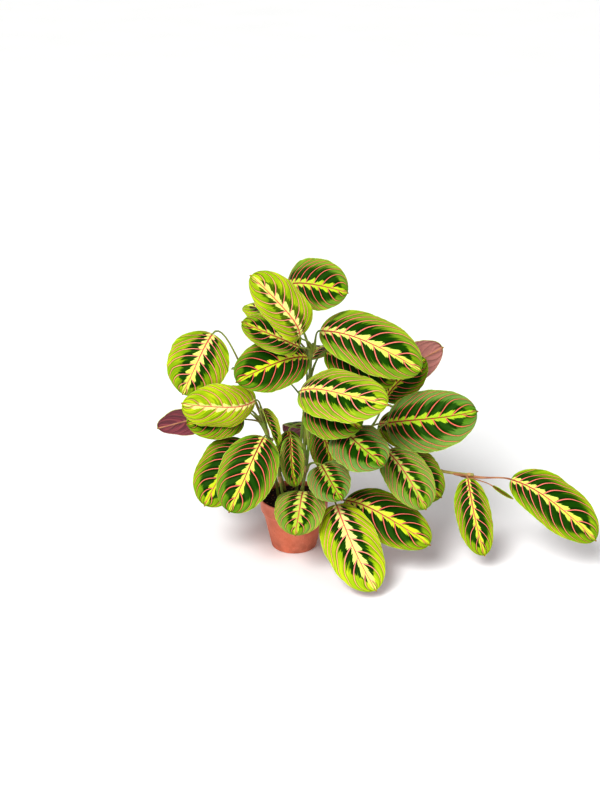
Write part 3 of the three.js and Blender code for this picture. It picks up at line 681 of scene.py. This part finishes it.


# Leaves: foot, tip, width and bends as in the part's source, with each leaf's tone: lime of the rim,
# reach of the dark blotches, cream of the band, grey-green tone that is partly painted sheen, size of the
# band's lobes.
# Where a leaf has no fold or droop of its own, plainLeaf has them.

leaves = {
    "leaf_pot_right": {
        "stem": "stem_front_low", "t": 0.9, "foot": (62, -64, 98), "tip": (117, -170, 14), "wide": 80,
        "face": (0.1, -1, 0.75), "arch": 9, "fold": 0.1, "wave": 2.8, "start": 0.3,
        "tone": (0.9, 0.42, 0.8, 0, 0.85)},
    "leaf_pot_right_back": {
        "stem": "stem_front_low", "t": 0.6, "foot": (76, -34, 90), "tip": (197, -112, 56), "wide": 76,
        "face": (0, -1, 1.1), "arch": 12, "fold": 0.06, "droop": 0.2, "wave": 2.4, "start": 1.2,
        "tone": (0.3, 1, 0.2, 0, 0.8)},
    "leaf_pot_front": {
        "stem": "stem_front_low", "t": 0.3, "foot": (14, -58, 116), "tip": (2, -132, 82), "wide": 72,
        "face": (-0.1, -0.9, 1), "arch": 10, "fold": 0.12, "droop": 0.18, "wave": 2.3, "start": 2.2,
        "tone": (0.4, 0.4, 0.35, 0.6, 0.8)},
    "leaf_small": {
        "stem": "stem_front_mid", "t": 0.36, "foot": (40, -44, 152), "tip": (69, -108, 126), "wide": 62,
        "face": (-0.1, -1, 0.9), "arch": 8, "fold": 0.14, "wave": 2.1, "start": 0.8,
        "tone": (0.1, 0.5, 0.2, 0.9, 0.75)},
    "leaf_folded": {
        "stem": "stem_front_mid", "t": 0.52, "foot": (-5, -30, 190), "tip": (2, -58, 124), "wide": 36,
        "face": (0.2, -1, 0.3), "arch": 5, "fold": 0.35, "droop": 0, "wave": 1.8, "start": 0.2,
        "tone": (0.25, 0.75, 0.2, 0.4, 0.5)},
    "leaf_left_big": {
        "stem": "stem_front_left", "t": 0.97, "foot": (-43, -46, 198), "tip": (-92, -118, 112), "wide": 84,
        "face": (-0.15, -1, 0.5), "arch": 12, "fold": 0.06, "droop": 0.18, "wave": 2.6, "start": 1.1,
        "tone": (0.2, 0.75, 0.4, 0.15, 0.5)},
    "leaf_left_behind": {
        "stem": "stem_front_left", "t": 0.72, "foot": (-72, -14, 178), "tip": (-130, -70, 98), "wide": 80,
        "face": (-0.35, -1, 0.4), "arch": 10, "droop": 0.14, "wave": 2.4, "start": 2.4,
        "tone": (0.3, 0.7, 0.1, 0, 0.5)},
    "leaf_mid_right": {
        "stem": "stem_right", "t": 0.5, "foot": (68, -34, 200), "tip": (128, -112, 182), "wide": 76,
        "face": (0, -0.8, 1), "arch": 12, "droop": 0.2, "wave": 2.8, "start": 0.5,
        "tone": (0.1, 0.5, 0.2, 0.85, 0.6)},
    "leaf_right_low": {
        "stem": "stem_right", "t": 0.8, "foot": (136, -22, 164), "tip": (190, -98, 106), "wide": 66,
        "face": (0.1, -1, 0.6), "arch": 10, "fold": 0.06, "wave": 2.1, "start": 1.9,
        "tone": (0.4, 0.3, 0.35, 0.75, 0.55)},
    "leaf_right_behind": {
        "stem": "stem_right", "t": 0.9, "foot": (153, 5, 151), "tip": (218, -38, 96), "wide": 70,
        "face": (0.2, -1, 0.7), "arch": 9, "wave": 2.1, "start": 0.1,
        "tone": (0.3, 0.85, 0.2, 0.1, 0.5)},
    "leaf_right_big": {
        "stem": "stem_right", "t": 0.98, "foot": (138, 10, 196), "tip": (266, -36, 234), "wide": 92,
        "face": (0.1, -1, 0.7), "arch": 12, "fold": 0.04, "wave": 3.1, "start": 2.8,
        "tone": (0.05, 0.6, 0, 0.7, 0.5)},
    "leaf_right_under": {
        "stem": "stem_right", "t": 0.7, "foot": (128, 48, 178), "tip": (238, 22, 168), "wide": 78,
        "face": (0.1, -0.7, 1), "arch": 11, "wave": 2.4, "start": 0.7,
        "tone": (0.6, 0.55, 0.4, 0.1, 0.5)},
    "leaf_right_upper": {
        "stem": "stem_right", "t": 0.94, "foot": (136, 34, 222), "tip": (196, 44, 284), "wide": 62,
        "face": (-0.3, -1, 0.6), "arch": 10, "droop": 0.14, "wave": 2.3, "start": 1.8,
        "tone": (0.15, 0.85, 0.1, 0, 0.5)},
    "leaf_right_purple": {
        "stem": "stem_right", "t": 0.62, "foot": (104, 72, 232), "tip": (226, 90, 286), "wide": 74,
        "face": (0.1, 1, 0.3), "arch": -9, "droop": 0.14, "wave": 2.8, "start": 2.5,
        "tone": (0.95, 0.6, 0.4, 0, 0.5)},
    "leaf_centre_bright": {
        "stem": "stem_front_mid", "t": 0.98, "foot": (9, -30, 263), "tip": (132, -106, 272), "wide": 84,
        "face": (0.05, -1, 1.1), "arch": 13, "droop": 0.18, "wave": 2.6, "start": 0.9,
        "tone": (0.6, 0.42, 0.5, 0.15, 0.5)},
    "leaf_under_bright": {
        "stem": "stem_front_mid", "t": 0.74, "foot": (16, -26, 232), "tip": (97, -74, 224), "wide": 76,
        "face": (0, -0.9, 1), "arch": 10, "wave": 2.4, "start": 2.1,
        "tone": (0.2, 0.65, 0.25, 0.15, 0.5)},
    "leaf_top_big": {
        "stem": "stem_centre", "t": 0.98, "foot": (38, 12, 340), "tip": (184, -18, 288), "wide": 88,
        "face": (0, -1, 0.9), "arch": 14, "fold": 0.04, "wave": 3, "start": 1.6,
        "tone": (0.4, 0.62, 0.55, 0.2, 0.6)},
    "leaf_under_top": {
        "stem": "stem_centre", "t": 0.78, "foot": (48, 34, 300), "tip": (150, 12, 262), "wide": 66,
        "face": (0, -1, 0.9), "arch": 10, "wave": 2.3, "start": 0.3,
        "tone": (0.2, 0.85, 0.2, 0, 0.5)},
    "leaf_top_left": {
        "stem": "stem_centre", "t": 0.62, "foot": (20, 4, 302), "tip": (-82, -56, 286), "wide": 78,
        "face": (0, -1, 0.8), "arch": 11, "droop": 0.18, "wave": 2.6, "start": 0.4,
        "tone": (0.1, 0.85, 0.08, 0.1, 0.45)},
    "leaf_crown": {
        "stem": "stem_centre", "t": 0.95, "foot": (9, -30, 347), "tip": (-60, -56, 445), "wide": 66,
        "face": (0.4, -1, 0.4), "arch": 14, "fold": 0.28, "droop": 0.18, "wave": 3.2, "start": 2.6,
        "tone": (0.75, 0.25, 0.8, 0, 0.7)},
    "leaf_twisted": {
        "stem": "stem_centre", "t": 0.92, "foot": (7, -17, 326), "tip": (-74, -24, 366), "wide": 50,
        "face": (-0.3, -1, 0.6), "arch": 10, "fold": 0.34, "droop": 0.1, "wave": 3, "start": 1.0,
        "tone": (0.4, 0.75, 0.35, 0.1, 0.6)},
    "leaf_top_back": {
        "stem": "stem_centre", "t": 0.92, "foot": (-9, 36, 402), "tip": (78, 14, 396), "wide": 76,
        "face": (0.05, -1, 0.5), "arch": 14, "wave": 2.6, "start": 1.7,
        "tone": (0.25, 0.75, 0.15, 0.3, 0.6)},
    "leaf_lime": {
        "stem": "stem_left", "t": 0.98, "foot": (-56, -12, 241), "tip": (-160, -58, 256), "wide": 76,
        "face": (0.05, -1, -0.15), "arch": 10, "droop": 0.18, "wave": 2.4, "start": 1.3,
        "tone": (1, 0.02, 1, 0, 0.5)},
    "leaf_under_lime": {
        "stem": "stem_left", "t": 0.8, "foot": (-74, 6, 204), "tip": (-156, -30, 210), "wide": 66,
        "face": (0, -1, 0.9), "arch": 9, "wave": 2.1, "start": 0.7,
        "tone": (0.25, 0.55, 0.1, 0, 0.5)},
    "leaf_left_upper": {
        "stem": "stem_left", "t": 0.9, "foot": (-117, 4, 338), "tip": (-160, -26, 256), "wide": 88,
        "face": (-0.1, -1, 0.4), "arch": 14, "droop": 0.18, "wave": 2.6, "start": 2.2,
        "tone": (0.55, 0.35, 0.6, 0, 0.6)},
    "leaf_left_purple": {
        "stem": "stem_left", "t": 0.7, "foot": (-98, 28, 214), "tip": (-204, 16, 184), "wide": 60,
        "face": (-0.2, 1, 0.4), "arch": -7, "droop": 0.14, "wave": 2.4, "start": 1.5,
        "tone": (0.3, 0.8, 0.2, 0, 0.5)},
    "leaf_left_low": {
        "stem": "stem_left", "t": 0.4, "foot": (-62, 30, 146), "tip": (-146, 46, 92), "wide": 70,
        "face": (-1, -0.2, 0.7), "arch": 11, "wave": 2.3, "start": 1.1,
        "tone": (0.3, 0.75, 0.2, 0.1, 0.5)},
    "leaf_rolled": {
        "stem": "stem_left", "t": 0.6, "foot": (-47, -12, 226), "tip": (-24, -42, 181), "wide": 26,
        "face": (0.8, -1, 0.4), "arch": 5, "fold": 0.9, "droop": 0, "wave": 1.1, "start": 0.2,
        "tone": (0.6, 0.5, 0.3, 0.1, 0.5)},
    "leaf_runner_hanging": {
        "stem": "runner", "t": 0.84, "foot": (256, -34, 126), "tip": (279, -92, 28), "wide": 52,
        "face": (0, -1, 0.45), "arch": 7, "fold": 0.08, "droop": 0.14, "wave": 2.1, "start": 0.6,
        "tone": (0.45, 0.7, 0.35, 0, 0.6)},
    "leaf_runner_end": {
        "stem": "runner", "t": 0.98, "foot": (318, -46, 130), "tip": (437, -102, 58), "wide": 76,
        "face": (-0.1, -1, 1), "arch": 13, "fold": 0.1, "droop": 0.18, "wave": 2.6, "start": 1.5,
        "tone": (0.4, 0.85, 0.45, 0, 0.6)},
    "leaf_runner_bud": {
        "stem": "runner", "t": 0.9, "foot": (292, -44, 118), "tip": (320, -62, 106), "wide": 8,
        "face": (0, -1, 0.6), "arch": 2, "fold": 0.9, "droop": 0, "wave": 0, "start": 0,
        "tone": (0.4, 0.2, 0.2, 0, 0.3)},
    "leaf_back_top": {
        "stem": "stem_back", "t": 0.98, "foot": (22, 82, 268), "tip": (84, 188, 246), "wide": 80,
        "face": (0.2, 0.7, 1), "arch": 13, "droop": 0.18, "wave": 2.4, "start": 0.2,
        "tone": (0.3, 0.7, 0.3, 0.5, 0.6)},
    "leaf_back_left_top": {
        "stem": "stem_back", "t": 0.8, "foot": (-8, 66, 240), "tip": (-90, 132, 236), "wide": 78,
        "face": (-0.3, 0.5, 1), "arch": 12, "droop": 0.18, "wave": 2.4, "start": 1.4,
        "tone": (0.2, 0.8, 0.2, 0.1, 0.5)},
    "leaf_back_right": {
        "stem": "stem_back", "t": 0.6, "foot": (56, 70, 196), "tip": (152, 132, 170), "wide": 80,
        "face": (0.5, 0.6, 1), "arch": 13, "droop": 0.18, "wave": 2.6, "start": 2.3,
        "tone": (0.65, 0.6, 0.6, 0, 0.7)},
    "leaf_back_low": {
        "stem": "stem_back", "t": 0.3, "foot": (14, 82, 156), "tip": (22, 178, 96), "wide": 76,
        "face": (0, 1, 0.7), "arch": 12, "wave": 2.4, "start": 0.9,
        "tone": (0.3, 0.7, 0.2, 0.2, 0.5)},
    "leaf_back_left": {
        "stem": "stem_back_left", "t": 0.98, "foot": (-76, 78, 196), "tip": (-164, 134, 168), "wide": 76,
        "face": (-0.5, 0.5, 1), "arch": 12, "droop": 0.18, "wave": 2.4, "start": 2.0,
        "tone": (0.2, 0.6, 0.3, 0.6, 0.6)},
    "leaf_back_left_low": {
        "stem": "stem_back_left", "t": 0.6, "foot": (-50, 80, 132), "tip": (-96, 152, 70), "wide": 70,
        "face": (-0.5, 1, 0.6), "arch": 11, "wave": 2.3, "start": 0.5,
        "tone": (0.35, 0.75, 0.2, 0, 0.5)},
    "leaf_back_right_low": {
        "stem": "stem_right", "t": 0.4, "foot": (98, 60, 134), "tip": (152, 120, 84), "wide": 72,
        "face": (0.6, 1, 0.7), "arch": 11, "wave": 2.3, "start": 1.7,
        "tone": (0.3, 0.7, 0.3, 0.3, 0.6)},
    "leaf_back_crown": {
        "stem": "stem_centre", "t": 0.88, "foot": (-8, 48, 330), "tip": (-74, 104, 346), "wide": 68,
        "face": (-0.4, 0.3, 1), "arch": 12, "droop": 0.18, "wave": 2.4, "start": 0.6,
        "tone": (0.7, 0.5, 0.6, 0, 0.6)},
    "leaf_inner_left": {
        "stem": "stem_back", "t": 0.62, "foot": (-8, 54, 164), "tip": (-12, 52, 92), "wide": 44,
        "face": (0.1, -1, 0.4), "arch": 8, "droop": 0.14, "wave": 1.3, "start": 1.2,
        "tone": (0.15, 0.8, 0.1, 0.2, 0.4)},
    "leaf_inner_right": {
        "stem": "stem_back", "t": 0.5, "foot": (38, 46, 176), "tip": (62, 38, 100), "wide": 56,
        "face": (0, -1, 0.4), "arch": 8, "droop": 0.14, "wave": 2.3, "start": 2.0,
        "tone": (0.2, 0.8, 0.15, 0.2, 0.4)},
}
plainLeaf = {"fold": 0.05, "droop": 0.16}
blade = {
    "rows": 76,
    "cols": 34,
    "thick": 0.55,
    "skew": 0.94,
    "fullness": 2.15,
    "tipShare": 0.985,
    "uneven": 0.05,
    "ripple": 0.03,
    "fineRipple": 0.014,
    "bow": 0.035,
    "quilt": 1.5,
    "groove": 0.5,
    "grooveWidth": 0.07,
    "ruffle": 0.8,
    "fineRuffle": 0.35,
    "seedStep": 0.37,
    "smooth": 60,
}
stalk = {
    "r0": 1.5,
    "r1": 1.05,
    "steps": 14,
    "rise": 0.36,
    "spring": 0.06,
    "landing": 0.3,
    "sheath": 0.75,
    "sheathShare": 0.3,
    "knee": 0.4,
    "kneeAt": 0.93,
    "kneeLength": 0.05,
}


def halfWidth(leaf, u, v=0):
    # an oval with an uneven rim, blunt at the foot and pointed at the tip
    oval = 2 * min(1, u / blade["tipShare"]) ** blade["skew"] - 1
    oval = math.sqrt(max(0, 1 - abs(oval) ** blade["fullness"]))
    side = 1 if v > 0 else -1
    oval *= 1 + blade["ripple"] * noise.noise(Vector((u * 11, 3 * side, leaf["start"] * 9)))
    oval *= 1 + blade["fineRipple"] * noise.noise(Vector((u * 34, 8 * side, leaf["start"] * 5)))
    oval *= 1 + blade["uneven"] * math.sin(3 * leaf["start"] + (0 if v > 0 else 2.4))
    point = 0.4 + 2.2 * mapRange(1 - u, 0, 0.03) if u > 0.5 else 1.5
    return max(leaf["wide"] / 2 * oval, min(point, leaf["wide"] / 6))


def bladeAxes(leaf):
    # foot, length, and the directions ahead, up and to the side
    foot = Vector(leaf["foot"])
    run = Vector(leaf["tip"]) - foot
    ahead = run.normalized()
    face = Vector(leaf["face"])
    up = (face - ahead * face.dot(ahead)).normalized()
    return foot, run.length, ahead, up, ahead.cross(up)


def midrib(leaf, axes, u):
    foot, length, ahead, up, beside = axes
    rise = leaf["arch"] * 4 * u * (1 - u) + leaf["arch"] * 0.5 * math.sin(2 * math.pi * u) * (1 - u)
    sway = blade["bow"] * length * math.sin(2.3 * leaf["start"] + 1) * 4 * u * (1 - u)
    return foot + ahead * (length * u) + up * rise + beside * sway


def bladeFrame(leaf, axes, u):
    # the same three directions at one place of the bent midrib
    forward = (midrib(leaf, axes, min(1, u + 0.01)) - midrib(leaf, axes, max(0, u - 0.01))).normalized()
    side = forward.cross(axes[3]).normalized()
    return forward, side, side.cross(forward).normalized()


def bladePoint(leaf, axes, u, v, seed):
    # u runs from the foot to the tip, v across from -1 to 1
    forward, side, up = bladeFrame(leaf, axes, u)
    half = halfWidth(leaf, u, v)
    out = abs(v)
    across = v * half
    swing = math.sin(2 * math.pi * (2 * u + 0.16 * leaf["start"]) + leaf["start"] + (0 if v > 0 else 2.1))
    lift = (leaf["fold"] * out * half - leaf["droop"] * across * across / (leaf["wide"] / 2)
            + leaf["wave"] * swing * out * out * math.sin(math.pi * u))
    squeeze = math.sqrt(max(0.2, 1 - leaf["fold"] ** 2 * 0.6))
    quilt = blade["quilt"] * abs(math.sin(math.pi * veinPhase(u, v, seed))) ** 0.6
    # flat at the midrib, the rim and the foot, and lower on small leaves
    quilt *= (mapRange(out, 0.0, 0.15) * mapRange(out, 1.0, 0.75) * mapRange(u, 0.02, 0.15)
              * min(1, leaf["wide"] / 40))
    groove = blade["groove"] * math.exp(-(out / blade["grooveWidth"]) ** 2) * mapRange(u, 1.0, 0.6)
    ruffle = (blade["ruffle"] * noise.noise(Vector((u * 9, v * 3, seed * 7)))
              + blade["fineRuffle"] * noise.noise(Vector((u * 26, v * 3, seed * 7)))) * out ** 3
    return midrib(leaf, axes, u) + side * (across * squeeze) + up * (lift + quilt - groove + ruffle)


def makeBlade(name, leaf, axes, seed):
    # a flat grid, bent into the leaf, with what its materials read
    bpy.ops.mesh.primitive_grid_add(x_subdivisions=blade["rows"], y_subdivisions=blade["cols"],
                                    size=1, calc_uvs=True)
    piece = bpy.context.object
    piece.name = name
    mesh = piece.data
    places = []
    for vertex in mesh.vertices:
        u = (1 - math.cos(math.pi * min(1, max(0, vertex.co.x + 0.5)))) / 2
        places.append((u, min(1, max(-1, -vertex.co.y * 2))))
    leafMap = mesh.uv_layers[0]
    leafMap.name = "leafMap"
    for loop in mesh.loops:
        u, v = places[loop.vertex_index]
        leafMap.data[loop.index].uv = (u, v / 2 + 0.5)
    tone = mesh.attributes.new("leafTone", "FLOAT_VECTOR", "POINT")
    habit = mesh.attributes.new("leafHabit", "FLOAT_VECTOR", "POINT")
    shape = mesh.attributes.new("leafShape", "FLOAT_VECTOR", "POINT")
    lime, dark, cream, grey, band = leaf["tone"]
    for index, (u, v) in enumerate(places):
        mesh.vertices[index].co = bladePoint(leaf, axes, u, v, seed) * mm
        tone.data[index].vector = (lime, dark, cream)
        habit.data[index].vector = (grey, seed, abs(v) * halfWidth(leaf, u, v))
        shape.data[index].vector = (band, veinWobble(u, v, seed), 0)
    mesh.materials.append(leafTop)
    mesh.materials.append(leafUnder)
    shell = piece.modifiers.new("thickness", "SOLIDIFY")
    shell.thickness = blade["thick"] * mm
    shell.offset = 0
    shell.material_offset = 1
    applyModifiers(piece)
    smoothBelow(blade["smooth"])
    return piece


def makeStalkLine(leaf, axes):
    # out of the stem, up along it and over to the blade's foot
    stem = stems[leaf["stem"]]
    begin = along(stem["at"], leaf["t"])
    climb = heading(stem["at"], leaf["t"])
    away = axes[0] - begin
    out = (away - climb * away.dot(climb)).normalized()
    begin = begin + out * (radiusAt(stem, leaf["t"]) + stalk["r0"])
    reach = (axes[0] - begin).length
    forward = bladeFrame(leaf, axes, 0)[0]
    p1 = begin + climb * (reach * stalk["rise"]) + out * (reach * stalk["spring"])
    p2 = axes[0] - forward * (reach * stalk["landing"])
    # a sheath clasps the stem below the stalk, and a knee carries the blade
    points = [begin - climb * 9 - out * 1.2, begin - climb * 5 - out * 0.4]
    radii = [1.2, 1.9]
    for i in range(stalk["steps"] + 1):
        t = i / stalk["steps"]
        k = 1 - t
        points.append(begin * k ** 3 + p1 * (3 * k * k * t) + p2 * (3 * k * t * t) + axes[0] * t ** 3)
        sheath = stalk["sheath"] * math.exp(-(t / stalk["sheathShare"]) ** 2)
        knee = stalk["knee"] * math.exp(-((t - stalk["kneeAt"]) / stalk["kneeLength"]) ** 2)
        radii.append(radiusAt(stalk, t) + sheath + knee)
    points.append(midrib(leaf, axes, 0.02))
    radii.append(0.7)
    # thinner on a small leaf
    slim = 0.5 + 0.5 * min(1, leaf["wide"] / 30)
    return points, [radius * slim for radius in radii]


def makeLeaf(node, leaf, seed):
    axes = bladeAxes(leaf)
    piece = makeBlade(camelName(node), leaf, axes, seed)
    points, radii = makeStalkLine(leaf, axes)
    skin = reddishStalk if leaf["stem"] == "runner" else greenStalk
    joinAll(piece, [makeTube("stalk", points, radii, skin, 4)])
    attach(piece, "root")
    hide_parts(node)


for order, (node, leaf) in enumerate(leaves.items()):
    makeLeaf(node, {**plainLeaf, **leaf}, (order * blade["seedStep"]) % 1.0)
print("leaves made")


# Pot: turned from a circle, ring by ring, up the outside and down the inside

pot = {
    "height": 82, "rim": 52.2, "collar": 50.4, "collarHeight": 23, "body": 46.6, "base": 34.5,
    "wall": 1.3, "floor": 1.8, "sides": 144, "drain": 4.5, "drainRing": 22, "drainCount": 6,
    "smooth": 32,
}


def potOutline():
    # radius and height of each ring
    base, body, collar, rim = (pot[part] for part in ("base", "body", "collar", "rim"))
    top, wall, floor = pot["height"], pot["wall"], pot["floor"]
    low = top - pot["collarHeight"]
    foot = [(base - 2.5, 0), (base - 1.5, 0.2), (base - 0.8, 0.8), (base - 0.25, 1.6), (base, 2.6)]
    side = [(base + (body - 1.6 - base) * k / 5, 2.6 + (low - 8 - 2.6) * k / 5) for k in range(1, 6)]
    step = [(body - 1.5, low - 7.7), (body - 1.05, low - 7.3), (body - 0.9, low - 6.6),
            (body - 0.1, low - 2.9), (body, low - 2.3), (body + 0.7, low - 1.2)]
    band = [(collar - 0.9, low + 1.0), (collar - 0.3, low + 2.0), (collar, low + 3.2),
            (collar + 0.4, low + 10), (collar + 0.8, top - 4.2), (collar + 1.1, top - 3.6)]
    lip = [(rim - 0.35, top - 3.0), (rim - 0.05, top - 2.3), (rim, top - 1.4), (rim - 0.2, top - 0.6),
           (rim - 0.7, top), (rim - 1.4, top - 0.05), (rim - 2.0, top - 0.5)]
    inside = [(collar - wall + 0.3, top - 3.5), (collar - wall, low + 3.6), (body - wall, low - 2),
              (base - wall, floor + 2), (base - wall - 2, floor)]
    return foot + side + step + band + lip + inside


def makePot():
    outline = potOutline()
    radius, height = outline[0]
    bpy.ops.mesh.primitive_circle_add(vertices=pot["sides"], radius=radius * mm, fill_type="NGON",
                                      location=(0, 0, 0))
    piece = bpy.context.object
    piece.name = "potShell"
    bpy.ops.object.mode_set(mode="EDIT")
    bpy.ops.mesh.select_all(action="SELECT")
    for nextRadius, nextHeight in outline[1:]:
        lift = (0, 0, (nextHeight - height) * mm)
        bpy.ops.mesh.extrude_region_move(TRANSFORM_OT_translate={"value": lift})
        bpy.ops.transform.resize(value=(nextRadius / radius, nextRadius / radius, 1))
        radius, height = nextRadius, nextHeight
    closeBlock()
    return piece


def drillPot(piece):
    drills = []
    for i in range(pot["drainCount"]):
        turn = 2 * math.pi * (i + 0.5) / pot["drainCount"]
        place = (pot["drainRing"] * mm * math.cos(turn), pot["drainRing"] * mm * math.sin(turn), 0)
        bpy.ops.mesh.primitive_cylinder_add(vertices=32, radius=pot["drain"] * mm, depth=8 * mm,
                                            location=place)
        drills.append(bpy.context.object)
    drill = joinAll(drills[0], drills[1:])
    cut = piece.modifiers.new("drainHoles", "BOOLEAN")
    cut.object = drill
    cut.operation = "DIFFERENCE"
    cut.solver = "EXACT"
    applyModifiers(piece)
    bpy.data.objects.remove(drill, do_unlink=True)


potPiece = makePot()
drillPot(potPiece)
dress(potPiece, terracotta)
pick(potPiece)
smoothBelow(pot["smooth"])
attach(potPiece, "root")
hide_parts("pot")
print("pot made")


# Soil: a disc of lumpy peat with bark chips on it

soil = {"top": 75.5, "sink": 0.4, "radius": 48.4, "crown": 1.2, "lump": 1.2, "grain": 0.09,
        "steps": 84, "smooth": 80}
bark = {"count": 230, "seed": 11, "sizes": (0.35, 1.3), "lengths": (1, 1.4, 2.4), "flat": 0.55,
        "tilt": 0.5, "rough": 0.22, "inside": 2.5}


def soilHeight(x, y):
    # millimetres in, millimetres out
    spot = Vector((x * soil["grain"], y * soil["grain"], 4.0))
    rough = noise.fractal(spot, 0.9, 2.1, 5)
    crown = soil["crown"] * (1 - (x * x + y * y) / soil["radius"] ** 2)
    return soil["top"] - soil["sink"] + crown + soil["lump"] * rough


def makeSoil():
    bpy.ops.mesh.primitive_grid_add(x_subdivisions=soil["steps"], y_subdivisions=soil["steps"], size=2)
    piece = bpy.context.object
    piece.name = "soilBed"
    bpy.ops.object.mode_set(mode="EDIT")
    bpy.ops.mesh.select_all(action="SELECT")
    bpy.ops.mesh.extrude_region_move(TRANSFORM_OT_translate={"value": (0, 0, 1)})
    closeBlock()
    low = pot["floor"] + 0.4
    lowRadius = pot["base"] - pot["wall"] - 2.4
    for vertex in piece.data.vertices:
        # square to disc
        x, y, upper = vertex.co.x, vertex.co.y, vertex.co.z > 0.5
        x, y = x * math.sqrt(1 - y * y / 2), y * math.sqrt(1 - x * x / 2)
        if upper:
            x, y = x * soil["radius"], y * soil["radius"]
            vertex.co = Vector((x, y, soilHeight(x, y))) * mm
        else:
            vertex.co = Vector((x * lowRadius, y * lowRadius, low)) * mm
    dress(piece, peat)
    pick(piece)
    smoothBelow(soil["smooth"])
    return piece


def makeChipsPiece():
    draw = random.Random(bark["seed"])
    heap = bmesh.new()
    for i in range(bark["count"]):
        turn = draw.uniform(0, 2 * math.pi)
        away = (soil["radius"] - bark["inside"]) * math.sqrt(draw.uniform(0, 1))
        x, y = away * math.cos(turn), away * math.sin(turn)
        size = draw.uniform(*bark["sizes"])
        long = draw.choice(bark["lengths"])
        place = Matrix.Translation(Vector((x, y, soilHeight(x, y) + size * 0.25)) * mm)
        spin = Matrix.Rotation(draw.uniform(0, 6.3), 4, "Z")
        tilt = Matrix.Rotation(draw.uniform(-bark["tilt"], bark["tilt"]), 4, "X")
        stretch = Matrix.Diagonal((size * long * mm, size * mm, size * bark["flat"] * mm, 1))
        lump = bmesh.ops.create_icosphere(heap, subdivisions=1, radius=1.0,
                                          matrix=place @ (spin @ tilt) @ stretch)
        for vertex in lump["verts"]:
            shove = Vector([draw.uniform(-1, 1) for axis in range(3)])
            vertex.co += shove * (bark["rough"] * size * mm)
    mesh = bpy.data.meshes.new("soilChips")
    heap.to_mesh(mesh)
    heap.free()
    mesh.materials.append(chips)
    piece = bpy.data.objects.new("soilChips", mesh)
    bpy.context.collection.objects.link(piece)
    return piece


soilPiece = makeSoil()
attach(soilPiece, "root")
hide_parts("soil")
chipPiece = makeChipsPiece()
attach(chipPiece, "root")
print("soil made")


# Floor, lights and camera

camera = {
    "place": (9.0, -1902.6, 1019.0),
    "lookDown": 22.35,
    "lens": 63.2,
}
light = {
    "horizon": 0.95,
    "overhead": 0.4,
    "aim": (100, 0, 180),
    "sun": {"place": (-800, -800, 2500), "tilt": (40, -26, 0), "strength": 2.15, "spread": 26},
    "key": {"place": (-900, -1300, 1900), "size": 700, "power": 12},
    "fill": {"place": (1500, -1200, 1100), "size": 1500, "power": 6},
}

bpy.ops.mesh.primitive_plane_add(size=60, location=(0, 0, 0))
floor = bpy.context.object
floor.name = "studioFloor"
floor.data.materials.append(makeFloorPaint())


def addAreaLight(name, setup):
    bpy.ops.object.light_add(type="AREA", location=Vector(setup["place"]) * mm)
    lamp = bpy.context.object
    lamp.name = name
    lamp.data.size = setup["size"] * mm
    lamp.data.energy = setup["power"]
    aim = Vector(light["aim"]) * mm - lamp.location
    lamp.rotation_euler = aim.to_track_quat("-Z", "Y").to_euler()


for name in ("key", "fill"):
    addAreaLight(name + "Light", light[name])
bpy.ops.object.light_add(type="SUN", location=Vector(light["sun"]["place"]) * mm,
                         rotation=[math.radians(part) for part in light["sun"]["tilt"]])
sun = bpy.context.object
sun.name = "softSun"
sun.data.energy = light["sun"]["strength"]
sun.data.angle = math.radians(light["sun"]["spread"])

world = bpy.context.scene.world or bpy.data.worlds.new("studio")
bpy.context.scene.world = world
world.use_nodes = True
backdrop = world.node_tree.nodes["Background"]
backdrop.inputs["Color"].default_value = (1.0, 1.0, 1.0, 1.0)
skyTree = world.node_tree
skyHeight = unpack3(skyTree.nodes.new("ShaderNodeTexCoord").outputs["Generated"])[2]
skyLevel = blendValues(ease(skyHeight, 0.05, 0.55), light["horizon"], light["overhead"])
put(backdrop.inputs["Strength"], skyLevel)

bpy.ops.object.camera_add(location=Vector(camera["place"]) * mm,
                          rotation=(math.radians(90 - camera["lookDown"]), 0, 0))
viewer = bpy.context.object
viewer.data.lens = camera["lens"]
viewer.data.sensor_fit = "AUTO"
viewer.data.sensor_width = 36
viewer.data.clip_end = 100
bpy.context.scene.camera = viewer
bpy.context.scene.view_settings.view_transform = "Standard"
bpy.context.scene.view_settings.look = "Medium High Contrast"
print("stage set")
